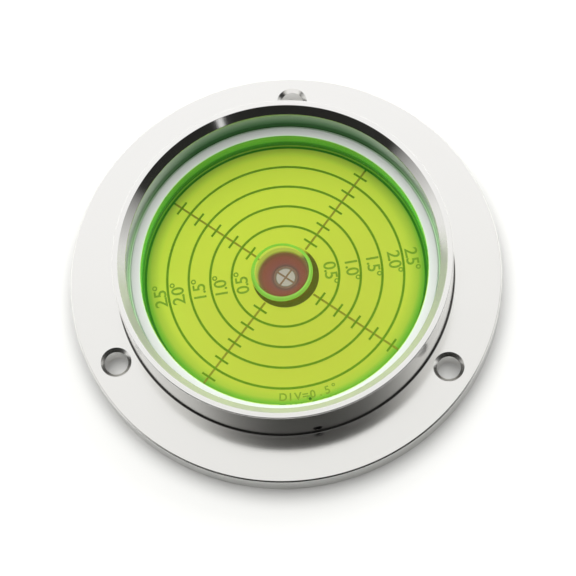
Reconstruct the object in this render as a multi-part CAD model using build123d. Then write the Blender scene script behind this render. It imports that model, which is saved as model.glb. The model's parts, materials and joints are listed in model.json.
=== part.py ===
from build123d import *
import math
import os

# Bullseye level: a clear round vial seated in a turned aluminium housing with a mounting flange.
# Millimetres. The origin is at the middle of the flat underside, +Z points up the vial's axis.
# One mounting hole lies on +Y.

# Vial: a white ring, a clear window set in it and a dial plate that closes it from below
vial_diameter = 65.8
vial_height = 8.2
vial_wall = 2.4
vial_edge_break = 0.5
vial_clearance = 0.1
window_thickness = 4.0
window_edge_break = 0.1
plate_thickness = 0.9
plate_rim_thickness = 0.5
plate_land_clearance = 0.05

# Housing, turned in one piece round the vial
housing_height = 16.0
flange_thickness = 5.0
flange_edge_break = 0.3
collar_wall = 2.75
collar_edge_break = 0.15
collar_root_radius = 0.3
mouth_chamfer = 1.5
floor_thickness = 0.8

# Mounting holes, evenly spaced in the flange between the collar and the flange's edge
mounting_hole_count = 3
mounting_hole_diameter = 5.0
mounting_hole_chamfer = 0.75
hole_to_collar = 4.65
hole_to_edge = 5.6
first_hole_angle = 90.0

# Dial: the bubble travels from ring to ring for each division of tilt
division_tilt = 0.5
division_count = 5
dial_edge_gap = 0.38
dial_angle = 11.2

# Air bubble, which rests against the window's domed underside
bubble_diameter = 13.0
bubble_depth = 3.0
bubble_shoulder_depth = 1.2
bubble_shoulder_width = 1.3
bubble_offset_x = -0.4
bubble_offset_y = -0.15

# Print on the dial plate
ink_thickness = 0.05
ring_line = 0.5
ring_clearance = 0.12
arm_count = 4
first_arm_angle = 45.0
arm_line = 0.3
arm_clearance = 0.15
tick_line = 0.45
tick_length = 3.35
target_diameter = 14.3
centre_spot_diameter = 4.4
centre_line = 0.4

# Filling hole in the dial plate, and its stepped plug
plug_diameter = 1.6
plug_head_diameter = 2.6
plug_head_thickness = 0.4
plug_dimple_diameter = 0.6
plug_dimple_depth = 0.2
plug_edge_distance = 2.4
plug_angle = -88.5

# Tapped hole in the collar's wall, and its grub screw
tapped_hole_diameter = 2.0
tapped_hole_drop = 1.7
tapped_hole_angle = 283.2
screw_clearance = 0.02
screw_recess = 0.35
screw_end_chamfer = 0.2
screw_socket_width = 1.3
screw_socket_depth = 1.1

# What follows from the sizes above
quarter_turn = 90.0
vial_radius = vial_diameter / 2
chamber_radius = vial_radius - vial_wall
land_radius = chamber_radius - plate_land_clearance
bore_radius = vial_radius + vial_clearance
collar_radius = bore_radius + collar_wall
mounting_circle_radius = collar_radius + hole_to_collar
flange_radius = mounting_circle_radius + hole_to_edge
vial_top = floor_thickness + vial_height
tapped_hole_height = vial_top - tapped_hole_drop
screw_length = vial_clearance + collar_wall - screw_recess
window_under = vial_top - window_thickness
plate_top = floor_thickness + plate_thickness
rim_top = floor_thickness + plate_rim_thickness
bubble_radius = bubble_diameter / 2
target_radius = target_diameter / 2
spot_radius = centre_spot_diameter / 2
level_radius = bubble_radius + ring_clearance + ring_line / 2
last_ring_radius = chamber_radius - dial_edge_gap - ring_line / 2
division_step = (last_ring_radius - level_radius) / division_count
dome_radius = division_step / math.radians(division_tilt)
ring_radii = [level_radius + division_step * (i + 1) for i in range(division_count)]
tick_radii = [radius - division_step / 2 for radius in ring_radii]


def dome_height(radius):
    """Height of the window's domed underside at a distance from the axis."""
    return window_under - dome_radius + math.sqrt(dome_radius**2 - radius**2)


def turned(points):
    """Solid of revolution about Z from the corners (radius, height) of a closed outline."""
    with BuildPart() as part:
        with BuildSketch(Plane.XZ):
            with BuildLine():
                Polyline(*points, close=True)
            make_face()
        revolve(axis=Axis.Z)
    return part.part


def domed(corners):
    """Solid of revolution whose outline is the corners and the window's domed underside."""
    dome_edge = (chamber_radius, dome_height(chamber_radius))
    dome_middle = (chamber_radius / 2, dome_height(chamber_radius / 2))
    with BuildPart() as part:
        with BuildSketch(Plane.XZ):
            with BuildLine():
                Polyline((0, window_under), *corners, dome_edge)
                ThreePointArc(dome_edge, dome_middle, (0, window_under))
            make_face()
        revolve(axis=Axis.Z)
    return part.part


def tapped_hole_place():
    """Where the collar's tapped hole starts, at the vial's side, with +Z pointing outwards."""
    return Rot(0, 0, tapped_hole_angle) * Pos(vial_radius, 0, tapped_hole_height) * Rot(0, quarter_turn, 0)


def plug_place():
    """Where the filling hole's axis meets the housing's floor."""
    distance = chamber_radius - plug_edge_distance
    return Rot(0, 0, dial_angle + plug_angle) * Pos(distance, 0, floor_thickness)


def flanged_housing():
    """Flange and collar turned in one piece, with a blind bore, mounting holes and a tapped hole."""
    root_on_flange = (collar_radius + collar_root_radius, flange_thickness)
    root_on_collar = (collar_radius, flange_thickness + collar_root_radius)
    with BuildPart() as housing:
        with BuildSketch(Plane.XZ):
            with BuildLine():
                Polyline(
                    (0, 0),
                    (flange_radius - flange_edge_break, 0),
                    (flange_radius, flange_edge_break),
                    (flange_radius, flange_thickness - flange_edge_break),
                    (flange_radius - flange_edge_break, flange_thickness),
                    root_on_flange,
                )
                RadiusArc(root_on_flange, root_on_collar, collar_root_radius)
                Polyline(
                    root_on_collar,
                    (collar_radius, housing_height - collar_edge_break),
                    (collar_radius - collar_edge_break, housing_height),
                    (bore_radius + mouth_chamfer, housing_height),
                    (bore_radius, housing_height - mouth_chamfer),
                    (bore_radius, floor_thickness),
                    (0, floor_thickness),
                    (0, 0),
                )
            make_face()
        revolve(axis=Axis.Z)
        with BuildSketch():
            with PolarLocations(mounting_circle_radius, mounting_hole_count, first_hole_angle):
                Circle(mounting_hole_diameter / 2)
        extrude(amount=flange_thickness, mode=Mode.SUBTRACT)
        hole_edges = housing.edges().filter_by(GeomType.CIRCLE)
        hole_edges = hole_edges.filter_by(lambda edge: math.isclose(edge.radius, mounting_hole_diameter / 2))
        chamfer(hole_edges.group_by(Axis.Z)[-1], length=mounting_hole_chamfer)
    drill_align = (Align.CENTER, Align.CENTER, Align.MIN)
    drill = Cylinder(tapped_hole_diameter / 2, 2 * collar_wall, align=drill_align)
    return housing.part - tapped_hole_place() * drill


def vial_ring():
    """White ring that is the vial's side wall."""
    return turned(
        [
            (chamber_radius, rim_top),
            (vial_radius, rim_top),
            (vial_radius, vial_top - vial_edge_break),
            (vial_radius - vial_edge_break, vial_top),
            (chamber_radius, vial_top),
        ]
    )


def vial_window():
    """Clear window: flat on top and flush with the ring, a very shallow dome on its underside."""
    return domed(
        [
            (0, vial_top),
            (chamber_radius - window_edge_break, vial_top),
            (chamber_radius, vial_top - window_edge_break),
        ]
    )


def dial_plate():
    """Plate with a thin rim under the ring, a raised land inside it, and the filling hole."""
    plate = turned(
        [
            (0, floor_thickness),
            (vial_radius, floor_thickness),
            (vial_radius, rim_top),
            (land_radius, rim_top),
            (land_radius, plate_top),
            (0, plate_top),
        ]
    )
    return plate - plug_place() * plug_outline()


def plug_outline():
    """The stepped plug without its dimple, standing on the origin. Also the shape of its hole."""
    return turned(
        [
            (0, 0),
            (plug_head_diameter / 2, 0),
            (plug_head_diameter / 2, plug_head_thickness),
            (plug_diameter / 2, plug_head_thickness),
            (plug_diameter / 2, plate_thickness),
            (0, plate_thickness),
        ]
    )


def plug_dimple():
    """The dimple in the plug's upper end, which the liquid fills."""
    pin = Cylinder(
        plug_dimple_diameter / 2,
        plug_dimple_depth,
        align=(Align.CENTER, Align.CENTER, Align.MAX),
    )
    return Pos(0, 0, plate_thickness) * pin


def fill_plug():
    """Plug that closes the filling hole from below."""
    return plug_place() * (plug_outline() - plug_dimple())


def bubble():
    """Space of the air bubble: flat against the window, rounded shoulder, bowl-shaped below."""
    shoulder_height = window_under - bubble_shoulder_depth
    top_radius = bubble_radius - bubble_shoulder_width
    with BuildPart() as space:
        with BuildSketch(Plane.XZ):
            with BuildLine():
                bowl = EllipticalCenterArc(
                    (0, shoulder_height),
                    bubble_radius,
                    bubble_depth - bubble_shoulder_depth,
                    start_angle=-quarter_turn,
                    arc_size=quarter_turn,
                )
                shoulder = EllipticalCenterArc(
                    (top_radius, shoulder_height),
                    bubble_shoulder_width,
                    bubble_shoulder_depth,
                    start_angle=0,
                    arc_size=quarter_turn,
                )
                Polyline(shoulder @ 1, (0, window_under), bowl @ 0)
            make_face()
        revolve(axis=Axis.Z)
    return Rot(0, 0, dial_angle) * Pos(bubble_offset_x, bubble_offset_y, 0) * space.part


def vial_liquid(prints):
    """Liquid that fills the vial round the bubble, the print and the plug's dimple."""
    liquid = domed([(0, plate_top), (chamber_radius, plate_top)])
    liquid += plug_place() * plug_dimple()
    for ink in [bubble(), *prints]:
        liquid -= ink
    return liquid


def rings_sketch():
    """Rings that the bubble's edge reaches at each division of tilt."""
    with BuildSketch() as rings:
        for radius in reversed(ring_radii):
            Circle(radius + ring_line / 2)
            Circle(radius - ring_line / 2, mode=Mode.SUBTRACT)
    return rings.sketch


def ticks_sketch():
    """Short cross ticks on each arm, halfway between the rings."""
    with BuildSketch() as ticks:
        for radius in tick_radii:
            with PolarLocations(radius, arm_count, first_arm_angle):
                Rectangle(tick_line, tick_length)
    return ticks.sketch


def arms_sketch():
    """Thin arms from just off the target to the outermost ring, broken where rings and ticks cross."""
    arm_start = target_radius + arm_clearance
    arm_length = ring_radii[-1] - arm_start
    with BuildSketch() as arms:
        with PolarLocations(arm_start + arm_length / 2, arm_count, first_arm_angle):
            Rectangle(arm_length, arm_line)
    return arms.sketch - rings_sketch() - ticks_sketch()


def target_sketch():
    """Coloured disc that the bubble covers when the surface is level."""
    return Circle(target_radius) - Circle(spot_radius + centre_line)


def centre_sketch():
    """Dark line round the bare spot in the middle, with a small cross in line with the arms."""
    with BuildSketch() as mark:
        Circle(spot_radius + centre_line)
        Circle(spot_radius, mode=Mode.SUBTRACT)
        with PolarLocations(0, arm_count, first_arm_angle):
            Rectangle(2 * spot_radius + centre_line, centre_line)
    return mark.sketch


def printed(sketch):
    """Ink of a flat sketch, laid on the dial plate and turned with the dial."""
    return Pos(0, 0, plate_top) * Rot(0, 0, dial_angle) * extrude(sketch, amount=ink_thickness)


def set_screw():
    """Grub screw with a hexagon socket, seated on the vial's side."""
    radius = tapped_hole_diameter / 2 - screw_clearance
    body = turned(
        [
            (0, 0),
            (radius - screw_end_chamfer, 0),
            (radius, screw_end_chamfer),
            (radius, screw_length - screw_end_chamfer),
            (radius - screw_end_chamfer, screw_length),
            (0, screw_length),
        ]
    )
    hexagon = RegularPolygon(screw_socket_width / 2, 6, major_radius=False)
    socket = Pos(0, 0, screw_length - screw_socket_depth) * extrude(hexagon, amount=screw_socket_depth)
    return tapped_hole_place() * (body - socket)


degree_rings = printed(rings_sketch())
tick_marks = printed(ticks_sketch())
crosshair_arms = printed(arms_sketch())
target_disc = printed(target_sketch())
centre_mark = printed(centre_sketch())
prints = [degree_rings, tick_marks, crosshair_arms, target_disc, centre_mark]

nodes = {
    "flanged_housing": flanged_housing(),
    "vial_ring": vial_ring(),
    "vial_window": vial_window(),
    "dial_plate": dial_plate(),
    "fill_plug": fill_plug(),
    "vial_liquid": vial_liquid(prints),
    "degree_rings": degree_rings,
    "tick_marks": tick_marks,
    "crosshair_arms": crosshair_arms,
    "target_disc": target_disc,
    "centre_mark": centre_mark,
    "set_screw": set_screw(),
}

os.makedirs("parts", exist_ok=True)
for name, shape in nodes.items():
    export_step(shape, f"parts/{name}.step")
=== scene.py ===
import json
from math import cos, pi, radians, sin, sqrt

import bmesh
import bpy
from bpy.props import FloatProperty, FloatVectorProperty, PointerProperty
from bpy.types import Operator, Panel, PropertyGroup
from mathutils import Matrix, Vector


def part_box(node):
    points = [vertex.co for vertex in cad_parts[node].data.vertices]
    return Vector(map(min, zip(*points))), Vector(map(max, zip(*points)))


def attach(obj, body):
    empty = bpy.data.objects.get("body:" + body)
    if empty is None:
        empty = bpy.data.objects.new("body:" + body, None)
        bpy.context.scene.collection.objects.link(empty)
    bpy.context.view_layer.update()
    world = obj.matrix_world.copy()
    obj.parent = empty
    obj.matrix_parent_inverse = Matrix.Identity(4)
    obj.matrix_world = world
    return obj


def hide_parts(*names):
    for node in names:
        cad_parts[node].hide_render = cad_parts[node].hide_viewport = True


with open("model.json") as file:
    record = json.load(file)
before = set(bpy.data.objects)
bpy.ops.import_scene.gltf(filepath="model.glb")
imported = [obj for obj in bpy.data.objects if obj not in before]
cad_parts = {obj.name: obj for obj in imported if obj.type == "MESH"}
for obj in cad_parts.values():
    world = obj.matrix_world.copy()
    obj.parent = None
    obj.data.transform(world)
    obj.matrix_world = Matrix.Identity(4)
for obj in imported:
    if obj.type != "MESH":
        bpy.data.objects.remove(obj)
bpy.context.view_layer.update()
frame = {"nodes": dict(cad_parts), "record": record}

bl_info = {
    "name": "Bullseye level",
    "version": (1, 0, 0),
    "blender": (4, 5, 0),
    "location": "3D View > Sidebar > Bullseye level",
    "description": "Dresses the bullseye level: turned housing, clear vial, dyed spirit and printed dial",
    "category": "Object",
}

# Sizes are in metres. One millimetre is MM.
MM = 0.001
SPIN_STEPS = 256
ROOT = "root"
# Corners nearer to each other than this are one
MERGE = 1e-7

# Places that the frame gives
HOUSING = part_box("flanged_housing")[1]
RING_LOW, RING_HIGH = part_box("vial_ring")
WINDOW_LOW, WINDOW_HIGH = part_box("vial_window")
LIQUID_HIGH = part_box("vial_liquid")[1]
PLATE_LOW, PLATE_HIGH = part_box("dial_plate")
PLUG_CENTRE = sum(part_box("fill_plug"), Vector()) / 2
FLOOR_TOP = PLATE_LOW.z
VIAL_RADIUS = RING_HIGH.x
CHAMBER_RADIUS = WINDOW_HIGH.x
HOLE_PATTERN = frame["record"]["mounts"][0]["dims"]
HOLE_CIRCLE_RADIUS = HOLE_PATTERN["pcd_mm"] / 2 * MM
HOLE_RADIUS = HOLE_PATTERN["hole_r_mm"] * MM
HOLE_COUNT = HOLE_PATTERN["count"]

# Housing details that the frame's boxes don't give
COLLAR_RADIUS = 35.75 * MM
BORE_RADIUS = 33.0 * MM
FLANGE_THICKNESS = 5.0 * MM
FLANGE_EDGE_BREAK = 0.3 * MM
COLLAR_EDGE_BREAK = 0.15 * MM
COLLAR_ROOT_RADIUS = 0.3 * MM
MOUTH_CHAMFER = 1.5 * MM
MOUTH_RADIUS = BORE_RADIUS + MOUTH_CHAMFER
MOUTH_FOOT = HOUSING.z - MOUTH_CHAMFER
HOLE_CHAMFER = 0.75 * MM
TAPPED_HOLE_RADIUS = 1.0 * MM
TAPPED_HOLE_HEIGHT = 7.3 * MM
TAPPED_HOLE_ANGLE = radians(283.2)

# Vial details
RING_EDGE_BREAK = 0.5 * MM
RING_ROUNDING = 0.06 * MM
WINDOW_EDGE_BREAK = 0.1 * MM
ACRYLIC_IOR = 1.49
SPIRIT_IOR = 1.40
# Edges that turn more than this are shaded sharp. Turned parts keep their faces flat up to the edge.
SHARP = radians(8)
ROUNDED_SHARP = radians(40)
# Surfaces that touch are sunk into each other by this much, so that no light slips between them
SUNK = 0.02 * MM

# The dial is turned by this angle. Its rings start one pitch outside the start radius.
DIAL_ANGLE = radians(11.2)
RING_START = 6.87 * MM
RING_PITCH = 4.6 * MM
RING_COUNT = 5
RING_RADII = [RING_START + RING_PITCH * step for step in range(1, RING_COUNT + 1)]
SPOT_RADIUS = 2.2 * MM

# The bubble, in the axes of the dial and the viewer
BUBBLE_CENTRE = Vector((-0.6 * MM, 0.4 * MM, 0.0))
BUBBLE_RADIUS = 6.6 * MM
BUBBLE_DEPTH = 3.0 * MM
BUBBLE_SHOULDER_DEPTH = 1.2 * MM
BUBBLE_SHOULDER_WIDTH = 1.3 * MM
BUBBLE_RIM_WIDTH = 0.8 * MM
# Where the disc looks red through the bubble
RED_CENTRE = Vector((-0.3 * MM, 0.3 * MM, 0.0))
RED_RADIUS = 5.3 * MM


def from_front(x, y, z):
    """A place in the axes of the dial and the viewer, x to the right and y away, turned into the object's."""
    return Matrix.Rotation(DIAL_ANGLE, 3, "Z") @ Vector((x, y, z))


def linear(code):
    """Linear colour, with alpha, of an sRGB hex code."""
    channels = [int(code[place:place + 2], 16) / 255 for place in (1, 3, 5)]
    return [c / 12.92 if c <= 0.04045 else ((c + 0.055) / 1.055) ** 2.4 for c in channels] + [1.0]


def add(tree, kind, links=(), stops=(), **settings):
    """A new node. Settings go to its attributes or inputs. Links give an input and what feeds it: an output,
    a node's first output or a plain value. Stops are a ramp's places and colours."""
    node = tree.nodes.new(kind)
    for name, value in settings.items():
        if hasattr(node, name):
            setattr(node, name, value)
        else:
            node.inputs[name.replace("_", " ")].default_value = value
    for socket, source in links:
        if isinstance(source, bpy.types.Node):
            source = source.outputs[0]
        if isinstance(source, bpy.types.NodeSocket):
            tree.links.new(source, node.inputs[socket])
        else:
            node.inputs[socket].default_value = source
    if stops:
        elements = node.color_ramp.elements
        while len(elements) < len(stops):
            elements.new(1.0)
        for element, (place, colour) in zip(elements, stops):
            element.position = place
            element.color = linear(colour) if isinstance(colour, str) else colour
    return node


def material(name):
    """An empty node material and its tree."""
    finish = bpy.data.materials.new(name)
    finish.use_nodes = True
    finish.node_tree.nodes.clear()
    return finish, finish.node_tree


def distance_from(tree, place, centre=(0.0, 0.0, 0.0)):
    """How far the shaded place is from an upright axis, in metres."""
    off = add(tree, "ShaderNodeVectorMath", [(0, place), (1, centre)], operation="SUBTRACT")
    flat = add(tree, "ShaderNodeVectorMath", [(0, off), (1, (1.0, 1.0, 0.0))], operation="MULTIPLY")
    return add(tree, "ShaderNodeVectorMath", [(0, flat)], operation="LENGTH").outputs["Value"]


def turned_aluminium(sizes):
    """Fine-turned aluminium: bright and near mirror-like, softened by the tool's circular marks."""
    finish, tree = material("turned_aluminium")
    place = add(tree, "ShaderNodeTexCoord").outputs["Object"]
    radius = distance_from(tree, place)
    height = add(tree, "ShaderNodeSeparateXYZ", [(0, place)]).outputs["Z"]
    # Marks a quarter of a millimetre apart, coarser than real ones so that they show
    mark_spacing, mark_depth = 0.25 * MM, 0.02 * MM
    marks = add(tree, "ShaderNodeTexNoise", [("W", radius)], noise_dimensions="1D",
                Scale=1 / mark_spacing, Detail=1.0)
    bump = add(tree, "ShaderNodeBump", [("Height", marks)], Strength=0.06, Distance=mark_depth)
    # The mouth's chamfer is cut finer than the faces. One finish passes into the next over a seam.
    seam = 0.1 * MM
    above = add(tree, "ShaderNodeMapRange", [("Value", height)],
                From_Min=MOUTH_FOOT - seam, From_Max=MOUTH_FOOT)
    within = add(tree, "ShaderNodeMapRange", [("Value", radius)],
                 From_Min=MOUTH_RADIUS + seam, From_Max=MOUTH_RADIUS)
    on_chamfer = add(tree, "ShaderNodeMath", [(0, above), (1, within)], operation="MULTIPLY")
    # The gloss of the faces varies a little in clouds as wide as a fingertip
    cloud_width, least, most = 9 * MM, 0.85, 1.2
    clouds = add(tree, "ShaderNodeTexNoise", [("Vector", place)], Scale=1 / cloud_width, Detail=4.0)
    soft = add(tree, "ShaderNodeMapRange", [("Value", clouds)],
               To_Min=sizes.metal_roughness * least, To_Max=sizes.metal_roughness * most)
    rough = add(tree, "ShaderNodeMath", [(0, on_chamfer), (1, sizes.chamfer_roughness), (2, soft)],
                operation="MULTIPLY_ADD")
    # Painted reflection: the bore above the vial is painted with the dyed spirit's green, greener the nearer it
    # is to the vial
    inside = add(tree, "ShaderNodeMapRange", [("Value", radius)],
                 From_Min=BORE_RADIUS + seam, From_Max=BORE_RADIUS + seam / 2)
    up = add(tree, "ShaderNodeMapRange", [("Value", height)],
             From_Min=RING_HIGH.z - RING_EDGE_BREAK, From_Max=MOUTH_FOOT)
    painted_green_light = add(tree, "ShaderNodeValToRGB", [("Fac", up)],
               stops=[(0.0, "#557E55"), (0.12, "#4A8848"), (0.45, "#64965E"), (1.0, "#A4B69A")])
    # This painted reflection is on the far side only; elsewhere the bore is painted with a reflection of the
    # white ring
    far = add(tree, "ShaderNodeVectorMath", [(0, place), (1, from_front(0.12, 1.0, 0.0))],
              operation="DOT_PRODUCT").outputs["Value"]
    beyond = add(tree, "ShaderNodeMapRange", [("Value", far)],
                 From_Min=0.25 * BORE_RADIUS, From_Max=0.85 * BORE_RADIUS)
    painted_bore_reflection = add(tree, "ShaderNodeMix", [(0, beyond), (6, linear("#D6DECF")), (7, painted_green_light)], data_type="RGBA")
    with_bore_reflection = add(tree, "ShaderNodeMix", [(0, inside), (6, linear("#F6F5F3")), (7, painted_bore_reflection.outputs[2])],
               data_type="RGBA")
    # Painted shade: a thin dark line is painted in the corner at the collar's foot
    off_corner = add(tree, "ShaderNodeMath", [(0, radius), (1, COLLAR_RADIUS + seam)], operation="SUBTRACT")
    off_line = add(tree, "ShaderNodeMath", [(0, off_corner)], operation="ABSOLUTE")
    line = add(tree, "ShaderNodeMapRange", [("Value", off_line)], From_Min=3 * seam, From_Max=seam)
    low = add(tree, "ShaderNodeMapRange", [("Value", height)],
              From_Min=FLANGE_THICKNESS + 4 * seam, From_Max=FLANGE_THICKNESS + 2 * seam)
    corner_shade = add(tree, "ShaderNodeMath", [(0, line), (1, low)], operation="MULTIPLY")
    with_corner_shade = add(tree, "ShaderNodeMix", [(0, corner_shade), (6, with_bore_reflection.outputs[2]), (7, linear("#4C4A48"))],
                data_type="RGBA")
    # Painted shade: the flange's side is painted a little greyer, for the shaded floor that it mirrors
    side_shade = add(tree, "ShaderNodeMapRange", [("Value", radius)],
                  From_Min=HOUSING.x - seam, From_Max=HOUSING.x)
    with_side_shade = add(tree, "ShaderNodeMix", [(0, side_shade), (6, with_corner_shade.outputs[2]), (7, linear("#CACAC8"))],
               data_type="RGBA")
    # Painted reflection: the near half of the chamfer is painted milky and less metallic, for the vial's pale
    # sheen in it
    near = add(tree, "ShaderNodeMapRange", [("Value", far)],
               From_Min=0.15 * BORE_RADIUS, From_Max=-0.15 * BORE_RADIUS)
    painted_sheen = add(tree, "ShaderNodeMath", [(0, near), (1, on_chamfer)], operation="MULTIPLY")
    colour = add(tree, "ShaderNodeMix", [(0, painted_sheen), (6, with_side_shade.outputs[2]), (7, linear("#C2CAB2"))],
                 data_type="RGBA")
    metal = add(tree, "ShaderNodeMapRange", [("Value", painted_sheen)], To_Min=1.0, To_Max=0.3)
    shader = add(tree, "ShaderNodeBsdfPrincipled", [
        ("Roughness", rough), ("Normal", bump), ("Base Color", colour.outputs[2]), ("Metallic", metal)])
    add(tree, "ShaderNodeOutputMaterial", [("Surface", shader)])
    return finish


def ring_plastic():
    """Moulded white plastic: glossy on top, and painted glowing green, with painted shade, where the dyed
    spirit would light it.
    """
    finish, tree = material("moulded_white_plastic")
    place = add(tree, "ShaderNodeTexCoord").outputs["Object"]
    radius = distance_from(tree, place)
    height = add(tree, "ShaderNodeSeparateXYZ", [(0, place)]).outputs["Z"]
    # White top. Its bright inner lip and faint green outer edge are painted light and shade from the dyed
    # spirit
    across = add(tree, "ShaderNodeMapRange", [("Value", radius)], From_Min=CHAMBER_RADIUS, From_Max=VIAL_RADIUS)
    top = add(tree, "ShaderNodeValToRGB", [("Fac", across)],
              stops=[(0.0, "#C8E8B8"), (0.06, "#D4EACB"), (0.14, "#D6DBD6"), (0.7, "#D6DBD6"),
                     (0.8, "#CCDACC"), (1.0, "#B6CFB2")])
    # Painted light and shade: the white wall inside the vial is painted the green of the dyed light on it,
    # darkest where it meets the plate
    up = add(tree, "ShaderNodeMapRange", [("Value", height)], From_Min=PLATE_HIGH.z, From_Max=RING_HIGH.z)
    wall = add(tree, "ShaderNodeValToRGB", [("Fac", up)],
               stops=[(0.0, "#3E8A30"), (0.28, "#48983A"), (0.42, "#66C84A"), (1.0, "#70CC54")])
    seam = 0.01 * MM
    on_top = add(tree, "ShaderNodeMapRange", [("Value", radius)],
                 From_Min=CHAMBER_RADIUS + seam, From_Max=CHAMBER_RADIUS + 4 * seam)
    colour = add(tree, "ShaderNodeMix", [(0, on_top), (6, wall), (7, top)], data_type="RGBA")
    # Painted glow: the wall and the outer edge are given a green glow, more at the two sides than near and far
    edge = add(tree, "ShaderNodeValToRGB", [("Fac", across)], stops=[(0.86, "#000000"), (0.93, "#A8D0A0")])
    painted_green_light = add(tree, "ShaderNodeMix", [(0, on_top), (6, wall), (7, edge)], data_type="RGBA")
    far = add(tree, "ShaderNodeVectorMath", [(0, place), (1, from_front(0.0, 1.0, 0.0))],
              operation="DOT_PRODUCT").outputs["Value"]
    off_sides = add(tree, "ShaderNodeMath", [(0, far)], operation="ABSOLUTE")
    strength = add(tree, "ShaderNodeMapRange", [("Value", off_sides)], To_Min=0.55, To_Max=0.15,
                   From_Min=0.15 * CHAMBER_RADIUS, From_Max=0.8 * CHAMBER_RADIUS)
    shader = add(tree, "ShaderNodeBsdfPrincipled", [
        ("Base Color", colour.outputs[2]), ("Emission Color", painted_green_light.outputs[2]),
        ("Emission Strength", strength)], Roughness=0.22, IOR=ACRYLIC_IOR)
    add(tree, "ShaderNodeOutputMaterial", [("Surface", shader)])
    return finish


def see_through(tree, clear):
    """Lets shadow rays through a clear surface, so that light reaches what lies under it."""
    passes = add(tree, "ShaderNodeBsdfTransparent")
    shadow = add(tree, "ShaderNodeLightPath").outputs["Is Shadow Ray"]
    return add(tree, "ShaderNodeMixShader", [(0, shadow), (1, clear), (2, passes)])


def acrylic(name, ior, gloss_ior):
    """Polished cast acrylic: clear, with a weak reflection that grows at a slant."""
    finish, tree = material(name)
    bends = add(tree, "ShaderNodeBsdfRefraction", IOR=ior, Roughness=0.0)
    mirrors = add(tree, "ShaderNodeBsdfGlossy", Roughness=0.02)
    slant = add(tree, "ShaderNodeFresnel", IOR=gloss_ior)
    both = add(tree, "ShaderNodeMixShader", [(0, slant), (1, bends), (2, mirrors)])
    add(tree, "ShaderNodeOutputMaterial", [("Surface", see_through(tree, both))])
    return finish


def bubble_surface():
    """Where air meets spirit: clear, and bending what lies beneath."""
    finish, tree = material("bubble_surface")
    glass = add(tree, "ShaderNodeBsdfGlass", IOR=SPIRIT_IOR, Roughness=0.0)
    add(tree, "ShaderNodeOutputMaterial", [("Surface", see_through(tree, glass))])
    return finish


def bubble_rim():
    """The bubble's steep edge, painted green and glowing, as a painted reflection of the spirit's green light.
    """
    finish, tree = material("bubble_rim")
    place = add(tree, "ShaderNodeTexCoord").outputs["Object"]
    # Painted shade: a little darker away from the light, as on the real meniscus
    near = add(tree, "ShaderNodeVectorMath", [(0, place), (1, from_front(0.3, -1.0, 0.0))],
               operation="DOT_PRODUCT").outputs["Value"]
    lit = add(tree, "ShaderNodeMapRange", [("Value", near)],
              From_Min=-BUBBLE_RADIUS, From_Max=0.7 * BUBBLE_RADIUS)
    colour = add(tree, "ShaderNodeValToRGB", [("Fac", lit)], stops=[(0.0, "#86CC44"), (1.0, "#A8E468")])
    # Painted glow: the edge gives off its own colour weakly
    shader = add(tree, "ShaderNodeBsdfPrincipled", [("Base Color", colour), ("Emission Color", colour)],
                 Roughness=0.4, IOR=1.3, Emission_Strength=0.25)
    add(tree, "ShaderNodeOutputMaterial", [("Surface", see_through(tree, shader))])
    return finish


def dyed_spirit():
    """Dyed spirit: it takes out blue and a little red, so deep liquid looks greener."""
    finish, tree = material("dyed_spirit")
    passes = add(tree, "ShaderNodeBsdfTransparent")
    dye = add(tree, "ShaderNodeVolumeAbsorption", Color=linear("#E6F83F"), Density=110.0)
    add(tree, "ShaderNodeOutputMaterial", [("Surface", passes), ("Volume", dye)])
    return finish


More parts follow.
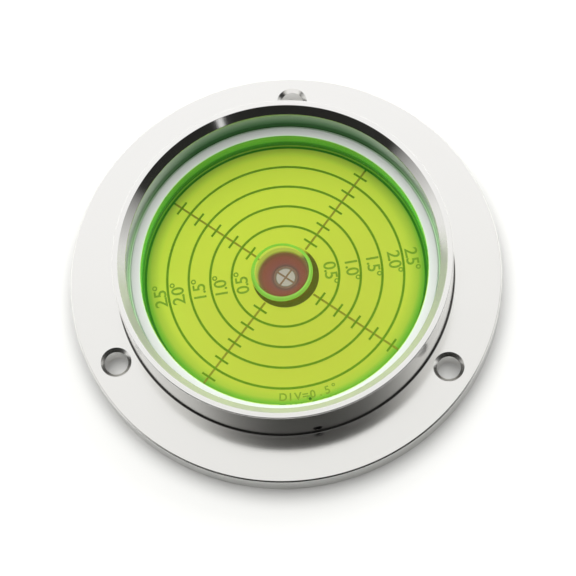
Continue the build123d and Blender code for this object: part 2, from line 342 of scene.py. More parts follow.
def dial_plastic():
    """Matt moulded plate, stained yellow-green, painted lighter to the far side and painted greener and darker,
    as painted shade, where it meets the vial's wall.
    """
    finish, tree = material("dial_plastic_stain_and_painted_light")
    place = add(tree, "ShaderNodeTexCoord").outputs["Object"]
    # Painted light: the plate is painted lighter towards the far side, where the collar keeps light off it. It
    # is also slightly patchy.
    far = add(tree, "ShaderNodeVectorMath", [(0, place), (1, from_front(-0.2, 0.98, 0.0))],
              operation="DOT_PRODUCT").outputs["Value"]
    thin = add(tree, "ShaderNodeMapRange", [("Value", far)],
               From_Min=-0.85 * CHAMBER_RADIUS, From_Max=0.85 * CHAMBER_RADIUS)
    cloud_width, patchiness = 14 * MM, 0.15
    cloud = add(tree, "ShaderNodeTexNoise", [("Vector", place)], Scale=1 / cloud_width, Detail=3.0)
    patches_and_painted_light = add(tree, "ShaderNodeMath", [(0, cloud), (1, patchiness), (2, thin)], operation="MULTIPLY_ADD")
    tone_and_painted_light = add(tree, "ShaderNodeValToRGB", [("Fac", patches_and_painted_light)],
                 stops=[(0.08, "#E2E462"), (0.5, "#EAEE6A"), (1.0, "#F4FF68")])
    # Painted shade: the rim is painted greener and darker where it meets the vial's wall. This shade lies a
    # little off the middle, so that it shows wider on the near side
    off_middle, beyond_wall = from_front(0.0, 1.1 * MM, 0.0), 0.3 * MM
    across = add(tree, "ShaderNodeMapRange", [("Value", distance_from(tree, place, off_middle))],
                 From_Max=CHAMBER_RADIUS + beyond_wall)
    rim_shade_start, rim_shade_full = 0.86, 0.925
    rim = add(tree, "ShaderNodeValToRGB", [("Fac", across)],
              stops=[(rim_shade_full, "#CEDE60"), (0.955, "#98D052"), (0.98, "#6AC248"), (1.0, "#58BA3C")])
    rim_shade = add(tree, "ShaderNodeMapRange", [("Value", across)], From_Min=rim_shade_start, From_Max=rim_shade_full)
    with_painted_edge = add(tree, "ShaderNodeMix", [(0, rim_shade), (6, tone_and_painted_light), (7, rim)], data_type="RGBA")
    # The bare spot under the target's middle keeps its own pale colour inside a grey edge
    radius, seam = distance_from(tree, place), 0.1 * MM
    on_spot = add(tree, "ShaderNodeMapRange", [("Value", radius)],
                  From_Min=SPOT_RADIUS + 2 * seam, From_Max=SPOT_RADIUS + seam)
    inward = add(tree, "ShaderNodeMapRange", [("Value", radius)], From_Max=SPOT_RADIUS)
    spot = add(tree, "ShaderNodeValToRGB", [("Fac", inward)], stops=[(0.86, "#D6C6F2"), (0.97, "#7A6A78")])
    colour = add(tree, "ShaderNodeMix", [(0, on_spot), (6, with_painted_edge.outputs[2]), (7, spot)], data_type="RGBA")
    # Painted light: the plate is given a weak glow in its own colour, which brightens it
    shader = add(tree, "ShaderNodeBsdfPrincipled", [
        ("Base Color", colour.outputs[2]), ("Emission Color", colour.outputs[2])],
        Roughness=0.5, IOR=1.46, Emission_Strength=0.1)
    add(tree, "ShaderNodeOutputMaterial", [("Surface", shader)])
    return finish


def ink(name, tone):
    """Screen-printed ink: thin and matt, and slightly uneven."""
    finish, tree = material(name)
    place = add(tree, "ShaderNodeTexCoord").outputs["Object"]
    speck_width, paler, darker = 0.4 * MM, 1.12, 0.9
    specks = add(tree, "ShaderNodeTexNoise", [("Vector", place)], Scale=1 / speck_width, Detail=2.0)
    thin = [min(1.0, channel * paler) for channel in tone] + [1.0]
    thick = [channel * darker for channel in tone] + [1.0]
    uneven = add(tree, "ShaderNodeValToRGB", [("Fac", specks)], stops=[(0.3, thin), (0.7, thick)])
    # Painted shade: print at the very edge, by the vial's wall, is painted the wall's dark green
    wall_shade_start, wall_shade_full = CHAMBER_RADIUS - 1.6 * MM, CHAMBER_RADIUS - 1.0 * MM
    edge = add(tree, "ShaderNodeMapRange", [("Value", distance_from(tree, place))],
               From_Min=wall_shade_start, From_Max=wall_shade_full)
    colour = add(tree, "ShaderNodeMix", [(0, edge), (6, uneven), (7, linear("#3E9426"))], data_type="RGBA")
    shader = add(tree, "ShaderNodeBsdfPrincipled", [("Base Color", colour.outputs[2])], Roughness=0.45)
    add(tree, "ShaderNodeOutputMaterial", [("Surface", shader)])
    return finish


def target_ink():
    """Translucent red ink: red through the bubble, and painted dark olive round it, as painted shade under the
    dyed spirit.
    """
    finish, tree = material("red_target_ink")
    place = add(tree, "ShaderNodeTexCoord").outputs["Object"]
    # Painted shade: past the bubble's edge the ink is painted from red to dark olive
    reach = 8.0 * MM
    edge = RED_RADIUS / reach
    out = add(tree, "ShaderNodeMapRange", [("Value", distance_from(tree, place, from_front(*RED_CENTRE)))],
              From_Max=reach)
    body = add(tree, "ShaderNodeValToRGB", [("Fac", out)],
               stops=[(0.35, "#A0485A"), (edge * 0.85, "#A2443C"), (edge * 0.96, "#8A4A34"),
                      (edge + 0.03, "#9A6A34"), (edge + 0.08, "#82702E"), (edge + 0.16, "#6C6A2A"),
                      (1.0, "#6A6A2C")])
    # Painted light: on the far left the plate's yellow is painted over the disc as a crescent, where the
    # bubble's edge would bend it into view
    crescent_start, crescent_full = 1.2 * MM, 2.6 * MM
    far = add(tree, "ShaderNodeVectorMath", [(0, place), (1, from_front(-0.42, 0.91, 0.0))],
              operation="DOT_PRODUCT").outputs["Value"]
    on_far = add(tree, "ShaderNodeMapRange", [("Value", far)], From_Min=crescent_start, From_Max=crescent_full)
    past = add(tree, "ShaderNodeMapRange", [("Value", out)], From_Min=edge + 0.02, From_Max=edge + 0.09)
    painted_crescent = add(tree, "ShaderNodeMath", [(0, on_far), (1, past)], operation="MULTIPLY")
    with_painted_edge = add(tree, "ShaderNodeMix", [(0, painted_crescent), (6, body), (7, linear("#E1E162"))], data_type="RGBA")
    # Soft dark halo round the bare spot
    halo_start, halo_full = 3.3 * MM, SPOT_RADIUS + 0.3 * MM
    halo = add(tree, "ShaderNodeMapRange", [("Value", distance_from(tree, place))],
               From_Min=halo_start, From_Max=halo_full)
    colour = add(tree, "ShaderNodeMix", [(0, halo), (6, with_painted_edge.outputs[2]), (7, linear("#5C445A"))],
                 data_type="RGBA")
    shader = add(tree, "ShaderNodeBsdfPrincipled", [("Base Color", colour.outputs[2])], Roughness=0.45)
    add(tree, "ShaderNodeOutputMaterial", [("Surface", shader)])
    return finish


def plug_plastic():
    """The plug is stained like the plate. Only its small dimple looks dark."""
    finish, tree = material("plug_plastic")
    place = add(tree, "ShaderNodeTexCoord").outputs["Object"]
    dimple, seam = 0.33 * MM, 0.05 * MM
    hollow = add(tree, "ShaderNodeMapRange", [("Value", distance_from(tree, place, PLUG_CENTRE))],
                 From_Min=dimple + seam, From_Max=dimple - seam)
    colour = add(tree, "ShaderNodeMix", [(0, hollow), (6, linear("#A6D652")), (7, linear("#4E8A22"))],
                 data_type="RGBA")
    shader = add(tree, "ShaderNodeBsdfPrincipled", [("Base Color", colour.outputs[2])],
                 Roughness=0.5, IOR=1.46)
    add(tree, "ShaderNodeOutputMaterial", [("Surface", shader)])
    return finish


def blackened_steel():
    """Black oxide on steel: dark and slightly oily, with a broken satin gloss."""
    finish, tree = material("black_oxide_steel")
    place = add(tree, "ShaderNodeTexCoord").outputs["Object"]
    patch_width = 0.3 * MM
    mottle = add(tree, "ShaderNodeTexNoise", [("Vector", place)], Scale=1 / patch_width, Detail=3.0)
    soft = add(tree, "ShaderNodeMapRange", [("Value", mottle)], To_Min=0.3, To_Max=0.5)
    shader = add(tree, "ShaderNodeBsdfPrincipled", [("Roughness", soft)],
                 Metallic=0.8, Base_Color=linear("#1C1C1D"))
    add(tree, "ShaderNodeOutputMaterial", [("Surface", shader)])
    return finish


def dress(node, finish):
    """Gives a CAD node its finish."""
    slots = frame["nodes"][node].data.materials
    slots.clear()
    slots.append(finish)


def spin(shape, corners):
    """Turns an outline of (radius, height) corners into a closed surface in the bmesh."""
    points = [shape.verts.new((radius, 0.0, height)) for radius, height in corners]
    lines = [shape.edges.new(pair) for pair in zip(points, points[1:])]
    bmesh.ops.spin(shape, geom=points + lines, cent=(0, 0, 0), axis=(0, 0, 1), dvec=(0, 0, 0),
                   angle=2 * pi, steps=SPIN_STEPS, use_merge=True, use_normal_flip=False,
                   use_duplicate=False)
    bmesh.ops.remove_doubles(shape, verts=shape.verts[:], dist=MERGE)
    bmesh.ops.recalc_face_normals(shape, faces=shape.faces[:])


def soften(shape, width):
    """Rounds the sharp edges a little, as on any real part."""
    least = radians(25)
    sharp = [edge for edge in shape.edges if len(edge.link_faces) == 2
             and edge.calc_face_angle(0.0) > least]
    bmesh.ops.bevel(shape, geom=sharp, offset=width, offset_type="OFFSET", segments=2,
                    profile=0.5, affect="EDGES", clamp_overlap=True, material=-1)


def as_object(shape, name, *finishes, sharp=SHARP):
    """Links a bmesh as an object with its finishes, smooth apart from its sharp edges."""
    mesh = bpy.data.meshes.new(name)
    shape.to_mesh(mesh)
    shape.free()
    piece = bpy.data.objects.new(name, mesh)
    bpy.context.scene.collection.objects.link(piece)
    for finish in finishes:
        mesh.materials.append(finish)
    mesh.shade_smooth()
    mesh.set_sharp_from_angle(angle=sharp)
    return piece


def seat(piece, slot, *nodes):
    """Rides the piece on the body and hides the CAD nodes that it stands for. The slot is not used."""
    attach(piece, ROOT)
    if nodes:
        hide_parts(*nodes)


def quarter(centre, radii, start, steps):
    """Corners of a quarter of an ellipse in an outline, anticlockwise from an angle."""
    angles = [start + pi / 2 * step / steps for step in range(steps + 1)]
    return [(centre[0] + radii[0] * cos(a), centre[1] + radii[1] * sin(a)) for a in angles]


def dome(sunk):
    """Corners of the window's domed underside, from just inside the ring to its middle."""
    # The dome drops from the middle, where the liquid is highest, to the window's lowest edge
    steps, drop = 24, LIQUID_HIGH.z - WINDOW_LOW.z
    sphere = (CHAMBER_RADIUS ** 2 + drop ** 2) / (2 * drop)
    places = [(CHAMBER_RADIUS + SUNK) * (1 - step / steps) for step in range(steps + 1)]
    return [(r, LIQUID_HIGH.z - sunk - sphere + sqrt(sphere ** 2 - r ** 2)) for r in places]


def cut(piece, cutters):
    """Cuts the closed shapes out of the piece and applies the cuts to its mesh."""
    for cutter in cutters:
        change = piece.modifiers.new("cut", "BOOLEAN")
        change.operation = "DIFFERENCE"
        change.solver = "EXACT"
        change.object = cutter
    bpy.context.view_layer.update()
    whole = bpy.data.meshes.new_from_object(piece.evaluated_get(bpy.context.evaluated_depsgraph_get()))
    piece.modifiers.clear()
    old = piece.data
    piece.data = whole
    bpy.data.meshes.remove(old)
    for cutter in cutters:
        bpy.data.objects.remove(cutter)


class LevelSizes(PropertyGroup):
    """Sizes and roughness that a user may change"""
    edge_rounding: FloatProperty(
        name="Edge rounding", description="Width of the rounding on the housing's edges",
        default=0.05 * MM, min=0.0, unit="LENGTH", precision=5)
    metal_roughness: FloatProperty(
        name="Metal roughness", description="How much the turned marks blur reflections",
        default=0.16, min=0.0, max=1.0, subtype="FACTOR")
    chamfer_roughness: FloatProperty(
        name="Chamfer roughness", description="What the finer cut of the mouth's chamfer adds to the roughness",
        default=-0.05, min=-1.0, max=1.0, subtype="FACTOR")
    number_height: FloatProperty(
        name="Number height", description="Height of the dial's degree numbers",
        default=2.75 * MM, min=0.0, unit="LENGTH", precision=5)
    legend_height: FloatProperty(
        name="Legend height", description="Height of the small lettering near the dial's edge",
        default=1.75 * MM, min=0.0, unit="LENGTH", precision=5)
    stroke_growth: FloatProperty(
        name="Stroke growth", description="How much the figures' strokes are thickened on each side",
        default=0.04 * MM, min=0.0, unit="LENGTH", precision=6)
    print_thickness: FloatProperty(
        name="Print thickness", description="Thickness of the printed numbers",
        default=0.04 * MM, min=0.0, unit="LENGTH", precision=6)


class LevelColours(PropertyGroup):
    """Colours of the print that a user may change"""
    line_green: FloatVectorProperty(
        name="Line green", description="Colour of the rings and ticks",
        subtype="COLOR", default=linear("#7AA620")[:3], min=0.0, max=1.0)
    number_green: FloatVectorProperty(
        name="Number green", description="Colour of the numbers",
        subtype="COLOR", default=linear("#98BC42")[:3], min=0.0, max=1.0)
    arm_brown: FloatVectorProperty(
        name="Arm brown", description="Colour of the arms",
        subtype="COLOR", default=linear("#AEA63E")[:3], min=0.0, max=1.0)
    legend_green: FloatVectorProperty(
        name="Legend green", description="Colour of the small lettering",
        subtype="COLOR", default=linear("#A2BC48")[:3], min=0.0, max=1.0)
    cross_grey: FloatVectorProperty(
        name="Cross grey", description="Colour of the centre's ring and cross",
        subtype="COLOR", default=linear("#9A6E78")[:3], min=0.0, max=1.0)


class StageLook(PropertyGroup):
    """Light and floor that a user may change"""
    key_strength: FloatProperty(
        name="Key strength", description="Strength of the soft light over the object", default=2.35, min=0.0)
    glint_strength: FloatProperty(
        name="Glint strength", description="Strength of the small light in the metal", default=1.0, min=0.0)
    room_strength: FloatProperty(
        name="Room strength", description="Brightness of the room light", default=1.0, min=0.0)
    floor_colour: FloatVectorProperty(
        name="Floor colour", description="Colour of the floor",
        subtype="COLOR", default=linear("#E9E9E7")[:3], min=0.0, max=1.0)


class LEVEL_OT_housing(Operator):
    """Turned aluminium housing with its mounting holes and tapped hole"""
    bl_idname = "level.housing"
    bl_label = "Flanged housing"

    ROOT_STEPS = 5

    def execute(self, context):
        sizes = context.scene.level_sizes
        flange, top, thick = HOUSING.x, HOUSING.z, FLANGE_THICKNESS
        chip, lip, root = FLANGE_EDGE_BREAK, COLLAR_EDGE_BREAK, COLLAR_ROOT_RADIUS
        corners = [(0, 0), (flange - chip, 0), (flange, chip), (flange, thick - chip), (flange - chip, thick)]
        corners += reversed(quarter((COLLAR_RADIUS + root, thick + root), (root, root), pi, self.ROOT_STEPS))
        corners += [(COLLAR_RADIUS, top - lip), (COLLAR_RADIUS - lip, top), (MOUTH_RADIUS, top),
                    (BORE_RADIUS, MOUTH_FOOT), (BORE_RADIUS, FLOOR_TOP), (0, FLOOR_TOP)]
        shape = bmesh.new()
        spin(shape, corners)
        soften(shape, sizes.edge_rounding)
        piece = as_object(shape, "turned_housing", turned_aluminium(sizes))
        cut(piece, [*self.mounting_holes(), self.tapped_hole()])
        piece.data.set_sharp_from_angle(angle=SHARP)
        seat(piece, "turned_aluminium", "flanged_housing")
        return {"FINISHED"}

    def mounting_holes(self):
        """Closed shapes of the chamfered mounting holes."""
        thick, mouth, reach = FLANGE_THICKNESS, HOLE_RADIUS + HOLE_CHAMFER, 1 * MM
        cutters = []
        for count in range(HOLE_COUNT):
            angle = pi / 2 + 2 * pi * count / HOLE_COUNT
            hole = bmesh.new()
            spin(hole, [(0, -reach), (HOLE_RADIUS, -reach), (HOLE_RADIUS, thick - HOLE_CHAMFER),
                        (mouth, thick), (mouth + reach, thick + reach), (0, thick + reach)])
            place = Vector((cos(angle), sin(angle), 0)) * HOLE_CIRCLE_RADIUS
            bmesh.ops.translate(hole, vec=place, verts=hole.verts[:])
            cutters.append(as_object(hole, "hole_cutter"))
        return cutters

    def tapped_hole(self):
        """Closed shape of the tapped hole through the collar."""
        tapped = bmesh.new()
        spin(tapped, [(0, VIAL_RADIUS), (TAPPED_HOLE_RADIUS, VIAL_RADIUS),
                      (TAPPED_HOLE_RADIUS, HOUSING.x), (0, HOUSING.x)])
        turn = Matrix.Rotation(TAPPED_HOLE_ANGLE, 4, "Z") @ Matrix.Rotation(pi / 2, 4, "Y")
        lift = Matrix.Translation((0, 0, TAPPED_HOLE_HEIGHT))
        bmesh.ops.transform(tapped, matrix=lift @ turn, verts=tapped.verts[:])
        return as_object(tapped, "tapped_hole_cutter")


class LEVEL_OT_vial_ring(Operator):
    """White ring round the vial's window"""
    bl_idname = "level.vial_ring"
    bl_label = "Vial ring"

    def execute(self, context):
        chip = RING_EDGE_BREAK
        shape = bmesh.new()
        spin(shape, [(CHAMBER_RADIUS, RING_LOW.z), (VIAL_RADIUS, RING_LOW.z),
                     (VIAL_RADIUS, RING_HIGH.z - chip), (VIAL_RADIUS - chip, RING_HIGH.z),
                     (CHAMBER_RADIUS, RING_HIGH.z), (CHAMBER_RADIUS, RING_LOW.z)])
        soften(shape, RING_ROUNDING)
        piece = as_object(shape, "moulded_vial_ring", ring_plastic())
        seat(piece, "white_plastic", "vial_ring")
        return {"FINISHED"}


class LEVEL_OT_window(Operator):
    """Clear domed window of the vial"""
    bl_idname = "level.window"
    bl_label = "Vial window"

    # What sets how strongly each side mirrors: weaker than real acrylic, to keep the dial clear
    TOP_GLOSS_IOR = 1.16
    UNDERSIDE_GLOSS_IOR = 1.03

    def execute(self, context):
        chip, top, rim = WINDOW_EDGE_BREAK, WINDOW_HIGH.z, CHAMBER_RADIUS + SUNK
        shape = bmesh.new()
        spin(shape, [(0, top), (rim - chip - SUNK, top), (rim, top - chip - SUNK)] + dome(0.0))
        # The underside is the second finish, where acrylic meets spirit
        for face in shape.faces:
            face.material_index = 1 if face.normal.z < -0.5 else 0
        piece = as_object(shape, "clear_window", acrylic("cast_acrylic", ACRYLIC_IOR, self.TOP_GLOSS_IOR),
                          acrylic("acrylic_on_spirit", ACRYLIC_IOR / SPIRIT_IOR, self.UNDERSIDE_GLOSS_IOR))
        seat(piece, "clear_acrylic", "vial_window")
        return {"FINISHED"}


class LEVEL_OT_liquid(Operator):
    """Dyed spirit with its air bubble"""
    bl_idname = "level.liquid"
    bl_label = "Spirit and bubble"

    BUBBLE_STEPS = 24

    def execute(self, context):
        rim = CHAMBER_RADIUS + SUNK
        shape = bmesh.new()
        spin(shape, [(0, PLATE_HIGH.z - SUNK), (rim, PLATE_HIGH.z - SUNK)] + dome(SUNK))
        self.add_bubble(shape)
        piece = as_object(shape, "spirit_with_bubble", dyed_spirit(), bubble_surface(), bubble_rim(),
                          sharp=ROUNDED_SHARP)
        seat(piece, "green_spirit", "vial_liquid")
        return {"FINISHED"}

    def add_bubble(self, shape):
        """Adds the bubble's closed surface, facing into the bubble: flat top, shoulder and bowl."""
        under = LIQUID_HIGH.z - 2 * SUNK
        shoulder = under - BUBBLE_SHOULDER_DEPTH
        bowl_depth = BUBBLE_DEPTH - BUBBLE_SHOULDER_DEPTH
        flat = BUBBLE_RADIUS - BUBBLE_SHOULDER_WIDTH
        bowl = quarter((0, shoulder), (BUBBLE_RADIUS, bowl_depth), -pi / 2, self.BUBBLE_STEPS)
        rounded = quarter((flat, shoulder), (BUBBLE_SHOULDER_WIDTH, BUBBLE_SHOULDER_DEPTH), 0,
                          self.BUBBLE_STEPS)
        hollow = bmesh.new()
        spin(hollow, bowl + rounded[1:] + [(0, under)])
        # The steep upper edge is the third finish, the rest of the bubble the second
        for face in hollow.faces:
            middle = face.calc_center_median()
            steep = middle.z > shoulder and middle.xy.length > BUBBLE_RADIUS - BUBBLE_RIM_WIDTH
            face.material_index = 2 if steep else 1
        bmesh.ops.reverse_faces(hollow, faces=hollow.faces[:])
        bmesh.ops.translate(hollow, vec=from_front(*BUBBLE_CENTRE), verts=hollow.verts[:])
        part = bpy.data.meshes.new("bubble")
        hollow.to_mesh(part)
        hollow.free()
        shape.from_mesh(part)
        bpy.data.meshes.remove(part)


class LEVEL_OT_dial(Operator):
    """Dial plate and its printed rings, ticks and target"""
    bl_idname = "level.dial"
    bl_label = "Dial plate and print"

    def execute(self, context):
        colours = context.scene.level_colours
        lines = ink("green_line_ink", colours.line_green)
        dress("dial_plate", dial_plastic())
        dress("degree_rings", lines)
        dress("tick_marks", lines)
        dress("target_disc", target_ink())
        dress("centre_mark", ink("grey_centre_ink", colours.cross_grey))
        return {"FINISHED"}


class LEVEL_OT_arms(Operator):
    """Four printed arms under the rings and ticks"""
    bl_idname = "level.arms"
    bl_label = "Crosshair arms"

    COUNT = 4
    FIRST_ANGLE = radians(45)
    START = 7.3 * MM
    WIDTH = 0.45 * MM
    END_ROUNDING = 0.4 * WIDTH
    # Thinner than the rings' ink, which is printed over the arms
    INK_SHARE = 0.75

    def execute(self, context):
        thick = context.scene.level_sizes.print_thickness * self.INK_SHARE
        end = RING_RADII[-1]
        stretch = Matrix.Diagonal((end - self.START, self.WIDTH, thick, 1.0))
        out = Matrix.Translation(((self.START + end) / 2, 0, PLATE_HIGH.z + thick / 2))
        shape = bmesh.new()
        for count in range(self.COUNT):
            angle = DIAL_ANGLE + self.FIRST_ANGLE + 2 * pi * count / self.COUNT
            bmesh.ops.create_cube(shape, size=1.0, matrix=Matrix.Rotation(angle, 4, "Z") @ out @ stretch)
        upright = [edge for edge in shape.edges if abs(edge.verts[0].co.z - edge.verts[1].co.z) > thick / 2]
        bmesh.ops.bevel(shape, geom=upright, offset=self.END_ROUNDING, offset_type="OFFSET", segments=4,
                        profile=0.5, affect="EDGES", clamp_overlap=True, material=-1)
        piece = as_object(shape, "printed_arms", ink("brown_arm_ink", context.scene.level_colours.arm_brown))
        seat(piece, "red_brown_ink", "crosshair_arms")
        return {"FINISHED"}


# Blender's own typeface: a figure's height at text size 1, and how close the letters are set
FIGURE_SHARE = 0.729
LETTER_SPACING = 0.87


def lettering(words, height):
    """A flat mesh of the words, its baseline's middle at the origin. Height is a figure's height."""
    sizes = bpy.context.scene.level_sizes
    text = bpy.data.curves.new("lettering", "FONT")
    text.body = words
    text.align_x = "CENTER"
    text.size = height / FIGURE_SHARE
    text.space_character = LETTER_SPACING
    text.resolution_u = 6
    text.offset = sizes.stroke_growth
    text.extrude = sizes.print_thickness / 2
    holder = bpy.data.objects.new("lettering", text)
    bpy.context.scene.collection.objects.link(holder)
    bpy.context.view_layer.update()
    depsgraph = bpy.context.evaluated_depsgraph_get()
    mesh = bpy.data.meshes.new_from_object(holder.evaluated_get(depsgraph))
    bpy.data.objects.remove(holder)
    bpy.data.curves.remove(text)
    return mesh


def printed(shape, words, height, place):
    """Adds words to a bmesh, laid on the dial by a matrix in the dial's own frame."""
    mesh = lettering(words, height)
    lift = Matrix.Translation((0, 0, PLATE_HIGH.z + bpy.context.scene.level_sizes.print_thickness / 2))
    mesh.transform(lift @ Matrix.Rotation(DIAL_ANGLE, 4, "Z") @ place)
    shape.from_mesh(mesh)
    bpy.data.meshes.remove(mesh)


class LEVEL_OT_numbers(Operator):
    """Degree numbers on both sides of the dial"""
    bl_idname = "level.numbers"
    bl_label = "Degree numbers"

    DEGREES_PER_RING = 0.5
    # A number's top stands this far inside its ring, and the last one's at a radius of its own
    INSIDE_RING = 0.75 * MM
    LAST_TOP = 28.3 * MM
    # How far the numbers of each side, left 1 and right -1, are printed on along their line and outwards
    FORWARD = {1: 0.26 * MM, -1: 1.1 * MM}
    OUTWARD = {1: 0.15 * MM, -1: 0.4 * MM}

    def execute(self, context):
        height = context.scene.level_sizes.number_height
        tops = [radius - self.INSIDE_RING for radius in RING_RADII[:-1]] + [self.LAST_TOP]
        shape = bmesh.new()
        for count, top in enumerate(tops, start=1):
            words = f"{self.DEGREES_PER_RING * count:.1f}°"
            for side in (1, -1):
                rise = top - height + self.OUTWARD[side]
                move = Matrix.Translation((self.FORWARD[side], rise, 0))
                printed(shape, words, height, Matrix.Rotation(side * pi / 2, 4, "Z") @ move)
        bmesh.ops.remove_doubles(shape, verts=shape.verts[:], dist=MERGE)
        finish = ink("number_ink", context.scene.level_colours.number_green)
        piece = as_object(shape, "degree_numbers", finish)
        seat(piece, "dark_green_ink")
        return {"FINISHED"}


class LEVEL_OT_legend(Operator):
    """Small lettering that follows the dial's near edge"""
    bl_idname = "level.legend"
    bl_label = "Division legend"

    WORDS = "DIV=0.5°"
    BASELINE = 28.0 * MM
    PITCH = 1.62 * MM
    MIDDLE_ANGLE = radians(1.4)

    def execute(self, context):
        height = context.scene.level_sizes.legend_height
        shape = bmesh.new()
        for count, letter in enumerate(self.WORDS):
            along = (count - (len(self.WORDS) - 1) / 2) * self.PITCH
            angle = self.MIDDLE_ANGLE + along / self.BASELINE
            place = Matrix.Rotation(angle, 4, "Z") @ Matrix.Translation((0, -self.BASELINE, 0))
            printed(shape, letter, height, place)
        bmesh.ops.remove_doubles(shape, verts=shape.verts[:], dist=MERGE)
        finish = ink("legend_ink", context.scene.level_colours.legend_green)
        piece = as_object(shape, "division_legend", finish)
        seat(piece, "dark_green_ink")
        return {"FINISHED"}


class LEVEL_OT_small_parts(Operator):
    """Filling plug and set screw"""
    bl_idname = "level.small_parts"
    bl_label = "Plug and set screw"

    def execute(self, context):
        dress("fill_plug", plug_plastic())
        dress("set_screw", blackened_steel())
        return {"FINISHED"}


# The photograph's view: 540 mm away, 68.4 degrees up, and leaning 9.8 degrees
VIEW_DISTANCE = 540.4 * MM
VIEW_ELEVATION = radians(68.4)
VIEW_ROLL = radians(9.78)
VIEW_AIM = Vector((0.1 * MM, -3.13 * MM, 5 * MM))
VIEW_FOCAL_PIXELS = 2542.8
FRAME_PIXELS = 576
SENSOR_MM = 36.0


def looking(obj, place, aim, roll=0.0):
    """Puts a camera or lamp at a place, turned to look at another."""
    forward = (aim - place).normalized()
    side = forward.cross(Vector((0, 0, 1))).normalized()
    upward = side.cross(forward)
    right = cos(roll) * side - sin(roll) * upward
    top = sin(roll) * side + cos(roll) * upward
    turn = Matrix((right, top, -forward)).transposed().to_4x4()
    obj.matrix_world = Matrix.Translation(place) @ turn


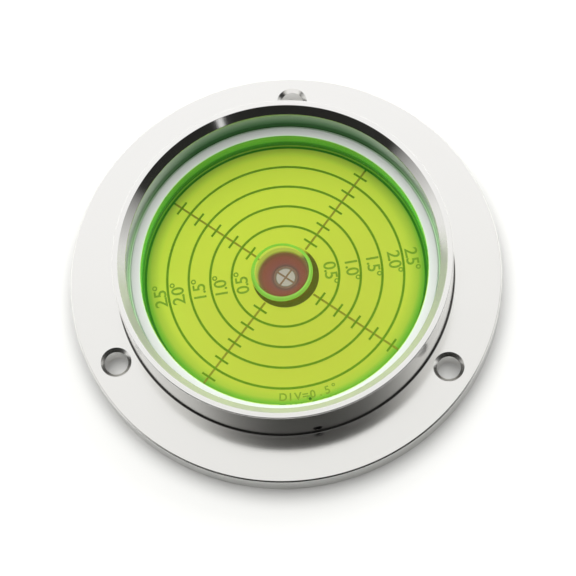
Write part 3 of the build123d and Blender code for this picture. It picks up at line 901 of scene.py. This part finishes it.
class LEVEL_OT_stage(Operator):
    """Pale floor, studio light and the photograph's view"""
    bl_idname = "level.stage"
    bl_label = "Stage"

    FLOOR_RADIUS = 4.0
    # The floor is lifted by this much outside a circle that is as wide as the flange and lies towards
    # the near left, where the photograph's shadow falls. The lift grows over the edge's width.
    LIFT = 0.05
    LIFT_CENTRE = (-5 * MM, -5 * MM, 0.0)
    LIFT_EDGE = 6 * MM
    # How bright the room looks, by how far a direction leans towards its brightest one
    BRIGHTEST = (0.0, 0.94, 0.34)
    ROOM = [(0.0, "#242422"), (0.5, "#282826"), (0.55, "#4C4C4A"), (0.6, "#8E8E8C"), (0.655, "#C6C6C4"),
            (0.75, "#E2E2E0"), (0.8, "#F0F0EE"), (0.83, "#F8F8F7"), (0.86, "#FFFFFF")]
    # Places of the lamps, to the right, away and up, and their widths, in metres
    KEY_PLACE, KEY_WIDTH = (-0.03, 0.28, 1.08), 1.5
    GLINT_PLACE, GLINT_WIDTH = (0.353, -0.996, 0.516), 0.06

    def execute(self, context):
        look = context.scene.level_stage
        self.view()
        self.floor(look)
        self.room(look)
        self.lamps(look)
        context.scene.view_settings.view_transform = "Standard"
        return {"FINISHED"}

    def view(self):
        """Camera of the photograph."""
        lens = bpy.data.cameras.new("photo_view")
        lens.sensor_width = SENSOR_MM
        lens.lens = VIEW_FOCAL_PIXELS * SENSOR_MM / FRAME_PIXELS
        holder = bpy.data.objects.new("photo_view", lens)
        bpy.context.scene.collection.objects.link(holder)
        target = Vector((0, 0, FLANGE_THICKNESS))
        place = target + from_front(0, -cos(VIEW_ELEVATION), sin(VIEW_ELEVATION)) * VIEW_DISTANCE
        looking(holder, place, from_front(*VIEW_AIM), VIEW_ROLL)
        bpy.context.scene.camera = holder

    def floor(self, look):
        """Large pale floor that keeps the object's shadow."""
        shape = bmesh.new()
        bmesh.ops.create_circle(shape, cap_ends=True, segments=64, radius=self.FLOOR_RADIUS)
        paper, tree = material("pale_paper")
        place = add(tree, "ShaderNodeTexCoord").outputs["Object"]
        # Matt paper, lifted a little away from the near shadow so that it reads as white
        shader = add(tree, "ShaderNodeBsdfDiffuse", Color=(*look.floor_colour, 1.0))
        path = add(tree, "ShaderNodeLightPath").outputs
        mirrored = add(tree, "ShaderNodeMath", [(0, path["Is Glossy Ray"]), (1, path["Is Transmission Ray"])],
                       operation="MAXIMUM")
        seen = add(tree, "ShaderNodeMath", [(0, path["Is Camera Ray"]), (1, mirrored)], operation="MAXIMUM")
        off_near = distance_from(tree, place, from_front(*self.LIFT_CENTRE))
        away = add(tree, "ShaderNodeMapRange", [("Value", off_near)],
                   From_Min=HOUSING.x, From_Max=HOUSING.x + self.LIFT_EDGE, To_Max=self.LIFT)
        shown = add(tree, "ShaderNodeMath", [(0, away), (1, seen)], operation="MULTIPLY")
        lift = add(tree, "ShaderNodeEmission", [("Strength", shown)])
        both = add(tree, "ShaderNodeAddShader", [(0, shader), (1, lift)])
        add(tree, "ShaderNodeOutputMaterial", [("Surface", both)])
        as_object(shape, "pale_floor", paper)

    def room(self, look):
        """Room light: bright beyond the object, pale at its sides and low down, dark behind the viewer."""
        world = bpy.data.worlds.new("studio")
        world.use_nodes = True
        tree = world.node_tree
        tree.nodes.clear()
        direction = add(tree, "ShaderNodeTexCoord").outputs["Generated"]
        away = add(tree, "ShaderNodeVectorMath", [(0, direction), (1, from_front(*self.BRIGHTEST))],
                   operation="DOT_PRODUCT").outputs["Value"]
        shade = add(tree, "ShaderNodeMapRange", [("Value", away)], From_Min=-1.0)
        ends = add(tree, "ShaderNodeValToRGB", [("Fac", shade)], stops=self.ROOM)
        # Pale walls to the left and right
        across = add(tree, "ShaderNodeVectorMath", [(0, direction), (1, from_front(1.0, 0.0, 0.0))],
                     operation="DOT_PRODUCT").outputs["Value"]
        either = add(tree, "ShaderNodeMath", [(0, across)], operation="ABSOLUTE")
        beside = add(tree, "ShaderNodeMapRange", [("Value", either)], From_Min=0.9, From_Max=1.0)
        walls = add(tree, "ShaderNodeMix", [(0, beside), (6, ends), (7, linear("#D0D0CE"))], data_type="RGBA")
        # A pale band all round at the height of the floor's end
        up = add(tree, "ShaderNodeSeparateXYZ", [(0, direction)]).outputs["Z"]
        above = add(tree, "ShaderNodeMapRange", [("Value", up)], From_Min=0.12, From_Max=0.2)
        room = add(tree, "ShaderNodeMix", [(0, above), (6, linear("#F0F0EE")), (7, walls.outputs[2])],
                   data_type="RGBA")
        lit = add(tree, "ShaderNodeBackground", [("Color", room.outputs[2])], Strength=look.room_strength)
        add(tree, "ShaderNodeOutputWorld", [("Surface", lit)])
        bpy.context.scene.world = world

    def lamps(self, look):
        """Soft key light over the object and a little behind it, and a small light for a glint in the metal."""
        key = self.softbox("soft_key", from_front(*self.KEY_PLACE), self.KEY_WIDTH, look.key_strength)
        key.visible_glossy = False
        glint = self.softbox("edge_glint", from_front(*self.GLINT_PLACE), self.GLINT_WIDTH,
                             look.glint_strength)
        glint.visible_diffuse = False

    def softbox(self, name, place, width, strength):
        """A square area lamp turned to the object, which the camera doesn't see. Strength is for its area."""
        lamp = bpy.data.lights.new(name, "AREA")
        lamp.shape = "SQUARE"
        lamp.size = width
        lamp.energy = strength * pi * width * width
        holder = bpy.data.objects.new(name, lamp)
        bpy.context.scene.collection.objects.link(holder)
        looking(holder, place, Vector((0, 0, HOUSING.z / 2)))
        holder.visible_camera = False
        holder.visible_transmission = False
        return holder


PIECES = (LEVEL_OT_housing, LEVEL_OT_vial_ring, LEVEL_OT_window, LEVEL_OT_liquid, LEVEL_OT_dial,
          LEVEL_OT_arms, LEVEL_OT_numbers, LEVEL_OT_legend, LEVEL_OT_small_parts, LEVEL_OT_stage)


class LEVEL_PT_panel(Panel):
    """Sizes, colours and steps of the bullseye level"""
    bl_idname = "LEVEL_PT_panel"
    bl_label = "Bullseye level"
    bl_space_type = "VIEW_3D"
    bl_region_type = "UI"
    bl_category = "Bullseye level"

    def draw(self, context):
        scene = context.scene
        for group in (scene.level_sizes, scene.level_colours, scene.level_stage):
            for name in group.__annotations__:
                self.layout.prop(group, name)
        for piece in PIECES:
            self.layout.operator(piece.bl_idname)


CLASSES = (LevelSizes, LevelColours, StageLook, *PIECES, LEVEL_PT_panel)


def register():
    """Registers the classes and the scene's settings."""
    for cls in CLASSES:
        bpy.utils.register_class(cls)
    bpy.types.Scene.level_sizes = PointerProperty(type=LevelSizes)
    bpy.types.Scene.level_colours = PointerProperty(type=LevelColours)
    bpy.types.Scene.level_stage = PointerProperty(type=StageLook)


def unregister():
    """Takes out what register put in."""
    del bpy.types.Scene.level_stage
    del bpy.types.Scene.level_colours
    del bpy.types.Scene.level_sizes
    for cls in reversed(CLASSES):
        bpy.utils.unregister_class(cls)


def main():
    """Makes every piece, in order."""
    register()
    bpy.ops.level.housing()
    bpy.ops.level.vial_ring()
    bpy.ops.level.window()
    bpy.ops.level.liquid()
    bpy.ops.level.dial()
    bpy.ops.level.arms()
    bpy.ops.level.numbers()
    bpy.ops.level.legend()
    bpy.ops.level.small_parts()
    bpy.ops.level.stage()


if __name__ == "__main__":
    main()
